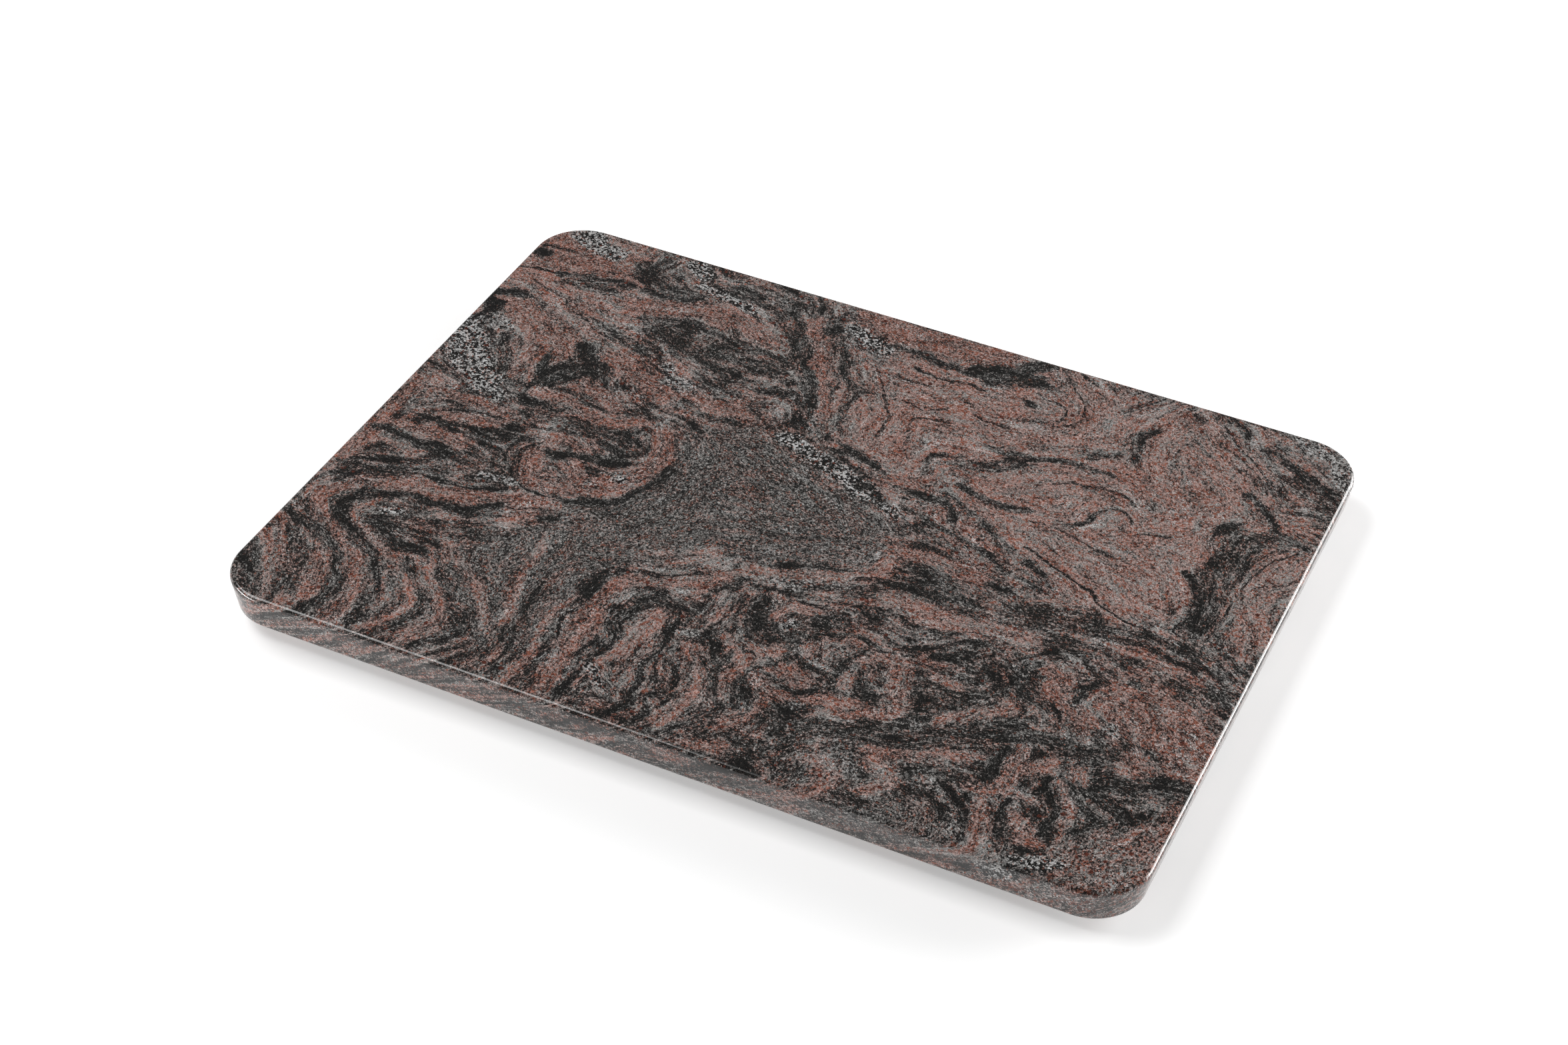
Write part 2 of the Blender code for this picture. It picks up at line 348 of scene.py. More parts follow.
    ("rust", 3.6, (-28, -142), (-23, -142)),
    # the upright bands, left of the middle of the front
    ("pink", 5.2, (-14, -50), (-22, -59), (-32, -64), (-46, -69), (-51, -79)),
    ("pink", 5.2, (-51, -79), (-52, -96), (-53, -115), (-48, -134), (-49, -148)),
    ("black", 4.0, (-54, -67), (-58, -75), (-60, -86)),
    ("black", 1.5, (-60, -68), (-46, -64), (-34, -60), (-22, -53)),
    ("black", 1.5, (-58, -88), (-60, -105), (-58, -115), (-62, -128)),
    ("salmon", 2.2, (-63, -89), (-65, -108), (-62, -134), (-64, -148)),
    ("dark", 4.6, (-14, -77), (-26, -75), (-38, -78), (-42, -88)),
    ("dark", 3.6, (-42, -88), (-42, -98), (-38, -108), (-41, -122), (-42, -144)),
    ("black", 3.4, (-42, -132), (-42, -140)),
    ("salmon", 4.4, (-27, -83), (-30, -99), (-32, -114)),
    ("quartz", 3.6, (-37, -124), (-29, -131)),
    ("black", 1.7, (-19, -83), (-17, -102), (-19, -112), (-15, -126), (-12, -135), (-18, -144)),
    ("salmon", 2.2, (-91, -62), (-89, -83), (-85, -99), (-81, -116)),
    ("dusk", 3.0, (-76, -90), (-76, -110), (-74, -130)),
    # the pink hook
    ("pink", 6.2, (-121, -4), (-123, -16), (-121, -26), (-112, -32), (-96, -31)),
    ("pink", 7.4, (-104, -20), (-92, -26), (-82, -19)),
    ("pink", 5.8, (-84, -20), (-75, -9), (-73, 2), (-75, 13), (-80, 22)),
    ("pink", 4.2, (-123, -1), (-112, 1), (-104, -3)),
    ("black", 2.6, (-118, -11), (-105, -9), (-92, -7), (-85, -3)),
    ("dusk", 4.2, (-102, 8), (-90, 4)),
    ("black", 1.4, (-124, -6), (-128, -18), (-125, -29), (-116, -38), (-106, -38)),
    ("black", 2.2, (-104, -35), (-96, -38), (-86, -33), (-77, -27), (-70, -13), (-66, 2)),
    ("quartz", 2.4, (-83, -14), (-80, -12)),
    ("quartz", 2.0, (-92, -24), (-89, -22)),
    ("pink", 4.6, (-110, -44), (-104, -42)),
    ("quartz", 2.6, (-134, -39), (-122, -37)),
    # left of the hook
    ("pink", 4.2, (-184, 3), (-166, 7), (-146, 2)),
    ("pink", 3.6, (-174, -8), (-159, -7), (-148, -5)),
    ("black", 1.3, (-179, -9), (-167, -3), (-154, -2), (-146, 0)),
    ("pink", 6.2, (-197, 6), (-196, -14), (-194, -36), (-197, -50)),
    ("black", 3.6, (-180, -15), (-170, -14), (-162, -13)),
    ("black", 4.0, (-153, -14), (-144, -16)),
    ("pink", 3.6, (-185, -23), (-168, -22), (-152, -24)),
    ("black", 3.4, (-191, -28), (-177, -29), (-164, -30), (-155, -33)),
    ("salmon", 3.4, (-184, -38), (-168, -36)),
    ("dark", 1.3, (-189, -51), (-170, -43), (-158, -38)),
    ("dark", 1.3, (-182, -55), (-164, -49), (-149, -45)),
    ("black", 1.5, (-181, -59), (-159, -51), (-139, -49), (-123, -43)),
    ("pink", 5.0, (-178, -64), (-155, -57), (-136, -55), (-121, -50), (-112, -45)),
    ("black", 2.4, (-166, -68), (-158, -63), (-143, -64), (-129, -60), (-118, -52)),
    ("dark", 1.5, (-118, -52), (-106, -49), (-94, -44)),
    ("dark", 2.0, (-150, -69), (-132, -66), (-114, -59), (-94, -51)),
    ("salmon", 2.0, (-138, -69), (-120, -64), (-104, -55)),
    ("quartz", 2.5, (-161, -76), (-157, -74)),
    # the chevrons of the front left corner
    ("dark", 3.4, (-175, -72), (-179, -82), (-172, -91)),
    ("pink", 3.4, (-179, -65), (-188, -80), (-177, -93), (-158, -105), (-146, -121), (-141, -148)),
    ("salmon", 2.4, (-166, -72), (-168, -84), (-158, -93), (-144, -99), (-129, -110)),
    ("salmon", 2.4, (-129, -110), (-121, -122), (-123, -134), (-132, -146)),
    ("dark", 2.4, (-161, -86), (-150, -90), (-138, -92)),
    ("dark", 3.0, (-162, -98), (-144, -110), (-137, -125), (-135, -147)),
    ("dark", 2.4, (-133, -104), (-118, -117), (-116, -129), (-125, -142)),
    ("salmon", 2.4, (-124, -101), (-111, -115), (-106, -128), (-113, -142)),
    ("dark", 2.6, (-107, -114), (-96, -122), (-96, -132), (-105, -144)),
    ("salmon", 2.2, (-102, -102), (-90, -114), (-86, -126)),
    ("dark", 4.6, (-180, -99), (-167, -107), (-156, -122), (-153, -144)),
    ("pink", 5.0, (-168, -115), (-163, -123), (-161, -136)),
    ("dark", 2.6, (-196, -93), (-186, -99), (-176, -104)),
    ("pink", 4.2, (-200, -98), (-190, -110), (-180, -122), (-170, -136), (-167, -148)),
    ("dark", 2.2, (-176, -111), (-171, -126), (-167, -140)),
    ("dark", 2.0, (-189, -105), (-182, -115), (-173, -130), (-172, -146)),
    ("dark", 5.6, (-199, -120), (-189, -132), (-181, -144)),
    ("salmon", 2.4, (-198, -112), (-186, -125), (-179, -137)),
]

# ---------------------------------------------------------------- where the bands lie on the mesh, in cm

BANDS = [(kind, half / 10, [(x / 10, y / 10) for x, y in points]) for kind, half, *points in BANDS_MM]

LINE_WIDTH = 0.16            # bands narrower than this to each side are drawn as fine lines
WALL_SLANT = (2.2, 1.0)      # how far right and back the bands run for each step down the walls
BENDS = ((1.3, 0.15), (0.5, 0.06))   # over how far, and by how much, the drawn bands are bent
BEND_SEEDS = (21, 31)        # sideways, and front to back
DARK = 0.7                   # kinds with more mica than this are drawn a little narrower
DARK_WIDTH = 0.80
COVER = 0.92                 # how fully a band takes the place of what lies under it
CHANNELS = 5                 # neighbouring bands take different channels, so their grains blend smoothly
BLEND_CM = 0.30              # how far one band's grain direction reaches into the next
REGION = 1.2                 # bands wider than this leave the grain direction to narrower ones nearby
REGION_GIVES = 2.0           # as if they lay this much further away
SAMPLE = 17                  # every so many vertices are enough to tell which bands meet
SEAM_REACH = 0.6             # a fine line may show this far to each side
SEAM_END = 0.10              # and fades over this far past its ends
LATTICE = 65536              # random numbers under each octave of noise, and how a cell picks one
KEY_X, KEY_Y = 197, 4211


def route(points, step=0.12):
    """Points and unit directions along a smooth curve through a band's own points."""
    knots = np.array([points[0], *points, points[-1]], float)
    knots[0] = 2 * knots[1] - knots[2]
    knots[-1] = 2 * knots[-2] - knots[-3]
    places = []
    for before, start, end, after in zip(knots, knots[1:], knots[2:], knots[3:]):
        count = max(2, int(np.hypot(*(end - start)) / step))
        t = np.arange(count)[:, None] / count
        bend = (end - before) * t + (2 * before - 5 * start + 4 * end - after) * t**2
        places.append(start + 0.5 * (bend + (3 * start - 3 * end + after - before) * t**3))
    places.append(knots[-2:-1])
    line = np.concatenate(places)
    ways = np.gradient(line, axis=0)
    return line, ways / np.hypot(*ways.T)[:, None]


def distances(places, points):
    """How far each place is from a band's middle, and how far to its left, measured square to the band."""
    line, ways = route(points)
    line = line.astype(np.float32)
    ways = ways.astype(np.float32)
    squares = (places[:, :1] - line[:, 0]) ** 2 + (places[:, 1:] - line[:, 1]) ** 2
    near = squares.argmin(axis=1)
    away = places - line[near]
    side = ways[near, 0] * away[:, 1] - ways[near, 1] * away[:, 0]
    return np.sqrt(squares[np.arange(len(near)), near]), side


def ease(value):
    """A smooth step from 0 to 1."""
    value = np.clip(value, 0, 1)
    return value * value * (3 - 2 * value)


def wander(places, size, seed):
    """Smooth noise of about -1 to 1 that changes over size cm, with two finer octaves."""
    total = 0
    for octave in range(3):
        spots = places * (2**octave / size) + 100 * 2**octave
        cells = np.floor(spots).astype(int)
        share = ease(spots - cells)
        lattice = np.random.default_rng([seed, octave]).uniform(-1, 1, LATTICE)
        keys = [(cells[:, 0] + i) * KEY_X + (cells[:, 1] + j) * KEY_Y for j in (0, 1) for i in (0, 1)]
        corner = [lattice[key % LATTICE] for key in keys]
        low = corner[0] + (corner[1] - corner[0]) * share[:, 0]
        high = corner[2] + (corner[3] - corner[2]) * share[:, 0]
        total = total + (low + (high - low) * share[:, 1]) * 0.55**octave
    return total.astype(np.float32)


def paint(places, far):
    """What the stone holds at each place: the five amounts of KINDS. The bands have uneven edges."""
    broad = wander(places, 2.6, 3)
    middle = wander(places, 0.9, 7)
    close = wander(places, 0.4, 11)
    held = np.tile(np.array(KINDS["plain"], np.float32), (len(places), 1))
    held[:, 0] += 0.10 * middle + 0.10 * broad
    held[:, 1] += 0.10 * broad
    for (kind, half, _), distance in zip(BANDS, far):
        if half < LINE_WIDTH:
            continue
        edge = half * (DARK_WIDTH if KINDS[kind][0] > DARK else 1.0)
        edge = edge * (1 + 0.30 * middle + 0.10 * broad) + 0.07 * close
        cover = ease(0.5 + (edge - distance) / (0.30 * half + 0.16))
        held += (COVER * cover)[:, None] * (np.array(KINDS[kind], np.float32) - held)
    held[:, 0] += 0.05 * middle + 0.04 * close
    return held


def flow(places, far, side):
    """For each channel: how far left of its nearest band, in metres, its weight, and any fine line."""
    halves = np.array([band[1] for band in BANDS], np.float32)
    darkness = np.array([KINDS[band[0]][0] for band in BANDS], np.float32)
    reach = far + np.where(halves > REGION, REGION_GIVES, 0.0)[:, None].astype(np.float32)
    few = reach[:, ::SAMPLE]
    strength = np.exp(-(few - few.min(axis=0)) / BLEND_CM)
    meets = strength @ strength.T
    channel = np.zeros(len(BANDS), int)
    crowd = np.zeros((len(BANDS), CHANNELS))
    for band in np.argsort(-meets.diagonal()):
        channel[band] = crowd[band].argmin()
        crowd[:, channel[band]] += meets[band]
    closest = reach.min(axis=0)
    weights = []
    signed = []
    lines = []
    every = np.arange(len(places))
    for number in range(CHANNELS):
        members = np.flatnonzero(channel == number)
        pick = members[reach[members].argmin(axis=0)]
        weights.append(np.exp(-(reach[pick, every] - closest) / BLEND_CM))
        signed.append(side[pick, every])
        past_end = np.sqrt(np.maximum(far[pick, every] ** 2 - side[pick, every] ** 2, 0))
        is_line = (halves[pick] < LINE_WIDTH) & (np.abs(side[pick, every]) < SEAM_REACH)
        lines.append(np.where(is_line, darkness[pick] * np.exp(-((past_end / SEAM_END) ** 2)), 0))
    total = np.sqrt(sum(weight**2 for weight in weights))
    return [np.stack([s * 0.01, w / total, l], axis=1) for s, w, l in zip(signed, weights, lines)]


def add_vectors(mesh, name, values):
    """Stores three numbers on each vertex."""
    layer = mesh.attributes.new(name, "FLOAT_VECTOR", "POINT")
    layer.data.foreach_set("vector", np.ascontiguousarray(values, np.float32).ravel())


def lay_bands(mesh):
    """Gives the stone's vertices what they hold and their grain. The bands run down the walls at a slant."""
    count = len(mesh.vertices)
    spots = np.empty(count * 3, np.float32)
    mesh.vertices.foreach_get("co", spots)
    spots = spots.reshape(-1, 3)
    depth = TOP - spots[:, 2:3]
    places = (spots[:, :2] + depth * np.array([WALL_SLANT], np.float32)) * 100
    bends = [
        sum(wander(places, size, seed + i) * amount for i, (size, amount) in enumerate(BENDS))
        for seed in BEND_SEEDS
    ]
    places = places + np.column_stack(bends)
    pairs = [distances(places, points) for _, _, points in BANDS]
    far = np.stack([pair[0] for pair in pairs])
    side = np.stack([pair[1] for pair in pairs])
    held = paint(places, far)
    add_vectors(mesh, "minerals", held[:, :3])
    add_vectors(mesh, "habit", np.column_stack([held[:, 3:], np.zeros(count)]))
    for number, values in enumerate(flow(places, far, side)):
        add_vectors(mesh, f"grain_{number}", values)


# ---------------------------------------------------------------- the stone's mesh

GRID_X = 304                 # quads along the top face
GRID_Y = 228
COARSE = 4                   # the underside's quads are this many times as wide as the top's
ARRIS_RINGS = 5              # rows of quads round each eased edge
WALL_RINGS = 5               # and down the wall between them


def rounded(u, v, half_x, half_y, radius):
    """Places a point of the unit square, -1 to 1 each way, in a rectangle with round corners."""
    x, y = abs(u) * half_x, abs(v) * half_y
    a, b = (x - half_x + radius) / radius, (y - half_y + radius) / radius
    if a > 0 and b > 0:
        x = half_x - radius + radius * a * (1 - b * b / 2) ** 0.5
        y = half_y - radius + radius * b * (1 - a * a / 2) ** 0.5
    return (x if u > 0 else -x), (y if v > 0 else -y)


def edge_walk(count_x, count_y):
    """The grid places round the rim, anticlockwise from the front left corner."""
    walk = [(i, 0) for i in range(count_x)]
    walk += [(count_x, j) for j in range(count_y)]
    walk += [(i, count_y) for i in range(count_x, 0, -1)]
    walk += [(0, j) for j in range(count_y, 0, -1)]
    return walk


def grid_points(count_x, count_y, inset, height):
    """A grid of points that fills the outline drawn in by inset."""
    points = []
    for j in range(count_y + 1):
        for i in range(count_x + 1):
            u, v = 2 * i / count_x - 1, 2 * j / count_y - 1
            x, y = rounded(u, v, HALF_X - inset, HALF_Y - inset, CORNER_RADIUS - inset)
            points.append((x, y, height))
    return points


def wall_profile():
    """From the top edge down to the underside: how far in, and how high, each ring lies."""
    lean = np.arctan(WALL_LEAN)
    profile = []
    for i in range(1, ARRIS_RINGS + 1):
        turn = (pi / 2 + lean) * i / ARRIS_RINGS
        profile.append((ARRIS_RADIUS * (1 - sin(turn)), FACE_TOP - ARRIS_RADIUS * (1 - cos(turn))))
    low_in = ARRIS_RADIUS + (FACE_TOP - FACE_BOTTOM - 2 * ARRIS_RADIUS) * WALL_LEAN
    foot = []
    for i in range(ARRIS_RINGS + 1):
        turn = pi / 2 + lean + (pi / 2 - lean) * i / ARRIS_RINGS
        foot.append((low_in - ARRIS_RADIUS * sin(turn), FACE_BOTTOM + ARRIS_RADIUS * (1 + cos(turn))))
    start, end = profile[-1], foot[0]
    for i in range(1, WALL_RINGS):
        share = i / WALL_RINGS
        profile.append((start[0] + (end[0] - start[0]) * share, start[1] + (end[1] - start[1]) * share))
    return profile + foot


def outward(x, y, inset):
    """The outline's normal at a point of its rim."""
    away = Vector((max(abs(x) - HALF_X + CORNER_RADIUS, 0), max(abs(y) - HALF_Y + CORNER_RADIUS, 0), 0))
    if away.x < CORNER_RADIUS - inset - 1e-7 and away.y < CORNER_RADIUS - inset - 1e-7:
        away.normalize()
    else:
        away = Vector((float(away.x >= away.y), float(away.y > away.x), 0))
    return Vector((away.x if x > 0 else -away.x, away.y if y > 0 else -away.y, 0))


def slab_mesh():
    """The whole stone as one closed mesh: top grid, rings down the wall, coarser grid underneath."""
    verts = grid_points(GRID_X, GRID_Y, ARRIS_RADIUS, FACE_TOP)
    faces = []
    slots = []
    row = GRID_X + 1
    for j in range(GRID_Y):
        for i in range(GRID_X):
            a = j * row + i
            faces.append((a, a + 1, a + row + 1, a + row))
    slots += [0] * len(faces)
    ring = [j * row + i for i, j in edge_walk(GRID_X, GRID_Y)]
    rim = [(Vector(verts[a]), outward(verts[a][0], verts[a][1], ARRIS_RADIUS)) for a in ring]
    profile = wall_profile()
    for inset, height in profile:
        base = len(verts)
        for point, normal in rim:
            spot = point + normal * (ARRIS_RADIUS - inset)
            verts.append((spot.x, spot.y, height))
        lower = list(range(base, base + len(ring)))
        for k in range(len(ring)):
            following = (k + 1) % len(ring)
            faces.append((ring[following], ring[k], lower[k], lower[following]))
        ring = lower
    slots += [0] * (len(faces) - len(slots))
    coarse_x, coarse_y = GRID_X // COARSE, GRID_Y // COARSE
    base = len(verts)
    border = LENGTH / coarse_x
    verts += grid_points(coarse_x, coarse_y, profile[-1][0] + border, FACE_BOTTOM)
    row = coarse_x + 1
    for j in range(coarse_y):
        for i in range(coarse_x):
            a = base + j * row + i
            faces.append((a, a + row, a + row + 1, a + 1))
    inner = [base + j * row + i for i, j in edge_walk(coarse_x, coarse_y)]
    for k in range(len(inner)):
        outer = [ring[(k * COARSE + step) % len(ring)] for step in range(COARSE, -1, -1)]
        faces.append((*outer, inner[k], inner[(k + 1) % len(inner)]))
    slots += [1] * (len(faces) - len(slots))
    mesh = bpy.data.meshes.new("stone")
    mesh.from_pydata(verts, [], faces)
    mesh.polygons.foreach_set("material_index", slots)
    mesh.shade_smooth()
    return mesh


# ---------------------------------------------------------------- materials


class Graph:
    """A node material that is built from the pattern up to its Principled shader."""

    def __init__(self, name):
        self.material = bpy.data.materials.new(name)
        self.material.use_nodes = True
        self.tree = self.material.node_tree
        self.shader = self.tree.nodes["Principled BSDF"]

    def node(self, kind, inputs=None, **settings):
        """Adds a node. An input is a plain value or another node's output."""
        node = self.tree.nodes.new("ShaderNode" + kind)
        for name, value in settings.items():
            setattr(node, name, value)
        for name, value in (inputs or {}).items():
            self.feed(node.inputs[name], value)
        return node

    def feed(self, socket, value):
        """Sets a socket, or links an output to it."""
        if isinstance(value, bpy.types.NodeSocket):
            self.tree.links.new(value, socket)
        else:
            socket.default_value = value

    def math(self, operation, *values):
        """A number worked out from others."""
        return self.node("Math", dict(enumerate(values)), operation=operation).outputs[0]

    def vector(self, operation, *values):
        """A vector worked out from others."""
        return self.node("VectorMath", dict(enumerate(values)), operation=operation).outputs[0]

    def scaled(self, vector, scale):
        """A vector times a number."""
        return self.node("VectorMath", {0: vector, "Scale": scale}, operation="SCALE").outputs[0]

    def split(self, vector):
        """A vector's three numbers."""
        return self.node("SeparateXYZ", {0: vector}).outputs[:]

    def mix(self, share, first, second):
        """A colour between two others."""
        inputs = {"Factor": share, "A": first, "B": second}
        node = self.tree.nodes.new("ShaderNodeMix")
        node.data_type = "RGBA"
        for name, value in inputs.items():
            socket = next(s for s in node.inputs if s.name == name and s.enabled)
            self.feed(socket, value)
        return next(s for s in node.outputs if s.enabled)

    def step(self, value, low, high):
        """A smooth step from 0 at low to 1 at high."""
        inputs = {"Value": value, "From Min": low, "From Max": high}
        return self.node("MapRange", inputs, interpolation_type="SMOOTHSTEP").outputs[0]

    def noise(self, vector, scale, detail=2.0, roughness=0.5):
        """Smooth noise, as a number and as three numbers."""
        inputs = {"Vector": vector, "Scale": scale, "Detail": detail, "Roughness": roughness}
        return self.node("TexNoise", inputs).outputs

    def cells(self, vector, scale):
        """Crystal cells: distance from each one's middle, and its own random colour."""
        return self.node("TexVoronoi", {"Vector": vector, "Scale": scale}).outputs

    def attribute(self, name):
        """Three numbers that are stored on the mesh."""
        return self.node("Attribute", attribute_name=name).outputs["Vector"]

    def object_place(self):
        """The place on the object, in metres."""
        return self.node("TexCoord").outputs["Object"]

    def bump(self, height, strength, distance):
        """Bumps of a given height in metres, fed to the shader's normal."""
        inputs = {"Height": height, "Strength": strength, "Distance": distance}
        self.feed(self.shader.inputs["Normal"], self.node("Bump", inputs).outputs[0])

    def finish(self, color, roughness):
        """Feeds the shader's colour and roughness."""
        self.feed(self.shader.inputs["Base Color"], color)
        self.feed(self.shader.inputs["Roughness"], roughness)
        return self.material


def gray(value, warm=0.0):
    """A nearly neutral colour."""
    return (value * (1 + warm), value, value * (1 - warm), 1.0)


# The stone's colours are square roots of what it reflects, about as the eye sees them. They are mixed
# like this and squared at the end.
GREY_FELDSPAR = gray(0.466, 0.02)
PINK_FELDSPAR = (0.542, 0.433, 0.407, 1.0)
WHITE_QUARTZ = gray(0.76)
RUST = (0.470, 0.258, 0.200)
BLACK_MICA = gray(0.088, 0.03)[:3]
GARNET = (0.285, 0.145, 0.115)

# How many of each there are in a metre
FLAKE_ACROSS = 1250.0        # mica flakes across the grain, and along it
FLAKE_ALONG = 620.0
WISP_ACROSS = 290.0          # dark wisps across the grain, and along it
WISP_ALONG = 60.0
JITTERS = 2600.0             # the noise that makes the crystals uneven
CRYSTALS = 2300.0
CLUSTERS = 1050.0            # of crystals
GARNETS = 400.0


def grain_noise(graph, place, across, along, detail):
    """Noise drawn out along the bands, blended from one channel of bands to the next."""
    total = None
    flat = graph.vector("MULTIPLY", place, (0.0, along, along))
    for number in range(CHANNELS):
        band = graph.attribute(f"grain_{number}")
        weight = graph.split(band)[1]
        spot = graph.vector("MULTIPLY_ADD", band, (across, 0.0, 0.0), flat)
        value = graph.vector("SUBTRACT", graph.noise(spot, 1.0, detail, 0.55)["Color"], (0.5, 0.5, 0.5))
        value = graph.scaled(value, weight)
        total = value if total is None else graph.vector("ADD", total, value)
    return graph.split(total)


def fine_lines(graph, ragged):
    """The thin black seams, with ragged edges: 1 at a fine line's middle, 0 away from it."""
    total = None
    for number in range(CHANNELS):
        band = graph.attribute(f"grain_{number}")
        across, weight, line = graph.split(band)
        across = graph.math("ABSOLUTE", graph.math("MULTIPLY_ADD", ragged, 0.004, across))
        seam = graph.step(across, 0.0016, 0.0002)
        seam = graph.math("MULTIPLY", seam, graph.math("MULTIPLY", line, weight))
        total = seam if total is None else graph.math("MAXIMUM", total, seam)
    return total


def granite_color(graph):
    """The stone's crystals. Returns its colour, how black each spot is, and a fine pattern for the polish."""
    place = graph.object_place()
    x, y, z = graph.split(place)
    depth = graph.math("SUBTRACT", TOP, z)
    slant_x = graph.math("MULTIPLY_ADD", depth, WALL_SLANT[0], x)
    slant_y = graph.math("MULTIPLY_ADD", depth, WALL_SLANT[1], y)
    slanted = graph.node("CombineXYZ", {1: slant_x, 2: slant_y}).outputs[0]

    mica, pink, quartz = graph.split(graph.attribute("minerals"))
    streaks, garnets, _ = graph.split(graph.attribute("habit"))

    flake, rust, glint = grain_noise(graph, slanted, FLAKE_ACROSS, FLAKE_ALONG, 2.0)
    wisp, blush, sheen = grain_noise(graph, slanted, WISP_ACROSS, WISP_ALONG, 3.0)
    seam = fine_lines(graph, wisp)
    jitter = graph.noise(place, JITTERS, 1.0)["Color"]
    uneven = graph.vector("MULTIPLY_ADD", jitter, (0.0003, 0.0003, 0.0003), place)
    crystals = graph.cells(uneven, CRYSTALS)
    own, hue, white = graph.split(crystals["Color"])
    clusters = graph.cells(uneven, CLUSTERS)
    patch, patch_hue, patch_red = graph.split(clusters["Color"])

    # black mica
    level = graph.math("MULTIPLY_ADD", graph.math("MULTIPLY", wisp, streaks), 3.2, mica)
    level = graph.math("MAXIMUM", level, graph.math("MULTIPLY", seam, 1.1))
    level = graph.math("MULTIPLY_ADD", flake, 1.8, level)
    level = graph.math("MULTIPLY_ADD", graph.math("SUBTRACT", own, 0.5), 0.62, level)
    lumps = graph.math("MULTIPLY_ADD", quartz, 1.5, 0.25)
    level = graph.math("MULTIPLY_ADD", graph.math("SUBTRACT", patch, 0.5), lumps, level)
    black = graph.step(level, 0.12, 0.98)

    # feldspar from grey to pink, each crystal a little lighter or darker
    blushed = graph.math("MULTIPLY_ADD", blush, 2.2, pink)
    blushed = graph.math("MULTIPLY_ADD", graph.math("SUBTRACT", patch_hue, 0.5), 0.5, blushed)
    light = graph.mix(graph.step(blushed, 0.0, 1.0), GREY_FELDSPAR, PINK_FELDSPAR)
    bright = graph.math("MULTIPLY_ADD", graph.math("SUBTRACT", hue, 0.5), 0.60, 1.02)
    bright = graph.math("MULTIPLY_ADD", glint, 0.8, bright)
    light = graph.scaled(light, bright)

    # white quartz
    pale = graph.math("MULTIPLY_ADD", quartz, 0.50, graph.math("MULTIPLY", white, 0.62))
    pale = graph.step(graph.math("MULTIPLY_ADD", sheen, 1.2, pale), 0.56, 0.82)
    light = graph.mix(graph.math("MULTIPLY", pale, 0.8), light, WHITE_QUARTZ)

    # rust red grains, most of them in the pink bands
    rust = graph.math("MULTIPLY", rust, 0.9)
    red = graph.math("MULTIPLY_ADD", graph.math("MINIMUM", blushed, 1.1), 0.29, rust)
    red = graph.step(graph.math("SUBTRACT", red, graph.math("MULTIPLY", patch_red, 0.80)), -0.07, 0.07)
    ruddy = graph.scaled(RUST, graph.math("MULTIPLY_ADD", hue, 0.45, 0.72))
    light = graph.mix(graph.math("MULTIPLY", red, 0.85), light, ruddy)

    dim = graph.scaled(BLACK_MICA, graph.math("MULTIPLY_ADD", hue, 0.9, 0.55))
    shade = graph.mix(black, light, dim)

    # dark garnets, 1 or 2 mm across
    big = graph.cells(graph.vector("MULTIPLY_ADD", jitter, (0.0011, 0.0011, 0.0011), place), GARNETS)
    rarity, girth, _ = graph.split(big["Color"])
    chosen = graph.math("GREATER_THAN", graph.math("MULTIPLY", garnets, 0.30), rarity)
    past = graph.math("SUBTRACT", big["Distance"], graph.math("MULTIPLY_ADD", girth, 0.30, 0.14))
    garnet = graph.math("MULTIPLY", graph.step(past, 0.05, -0.05), chosen)
    deep = graph.scaled(GARNET, graph.math("MULTIPLY_ADD", own, 1.0, 0.40))
    shade = graph.mix(graph.math("MULTIPLY", garnet, 0.92), shade, deep)
    return graph.vector("MULTIPLY", shade, shade), black, own


def granite():
    """Polished granite."""
    graph = Graph("polished_granite")
    color, black, own = granite_color(graph)
    polish = graph.noise(graph.object_place(), 9.0, 3.0)[0]
    roughness = graph.math("MULTIPLY_ADD", black, 0.05, graph.math("MULTIPLY_ADD", polish, 0.08, 0.06))
    graph.bump(graph.math("SUBTRACT", own, black), 0.04, 0.00001)
    graph.shader.inputs["IOR"].default_value = 1.50
    return graph.finish(color, roughness)


def sawn_granite():
    """The underside, sawn and not polished."""
    graph = Graph("sawn_granite")
    place = graph.object_place()
    crystals = graph.cells(place, 800.0)
    own, hue, _ = graph.split(crystals["Color"])
    clouds = graph.noise(place, 35.0, 4.0, 0.6)
    mica = graph.math("MULTIPLY_ADD", clouds[0], 1.6, graph.math("MULTIPLY", own, 0.8))
    rosy = graph.step(graph.split(clouds["Color"])[1], 0.40, 0.60)
    light = graph.mix(rosy, gray(0.21, 0.03), (0.24, 0.165, 0.145, 1.0))
    light = graph.scaled(light, graph.math("MULTIPLY_ADD", hue, 0.5, 0.8))
    color = graph.mix(graph.step(mica, 1.15, 1.45), light, gray(0.055, 0.04))
    saw = graph.noise(graph.vector("MULTIPLY", place, (6.0, 900.0, 1.0)), 1.0, 2.0)[0]
    graph.bump(graph.math("MULTIPLY_ADD", saw, 0.6, own), 0.6, 0.00015)
    return graph.finish(color, graph.math("MULTIPLY_ADD", hue, 0.15, 0.72))


def rubber():
    """Moulded black rubber with a fine bloom."""
    graph = Graph("foot_rubber")
    place = graph.object_place()
    grain = graph.noise(place, 2600.0, 2.0)[0]
    bloom = graph.noise(place, 160.0, 3.0, 0.6)[0]
    color = graph.mix(graph.step(bloom, 0.40, 0.75), gray(0.016, 0.01), gray(0.042, 0.02))
    graph.bump(grain, 0.5, 0.00005)
    return graph.finish(color, graph.math("MULTIPLY_ADD", bloom, 0.25, 0.55))


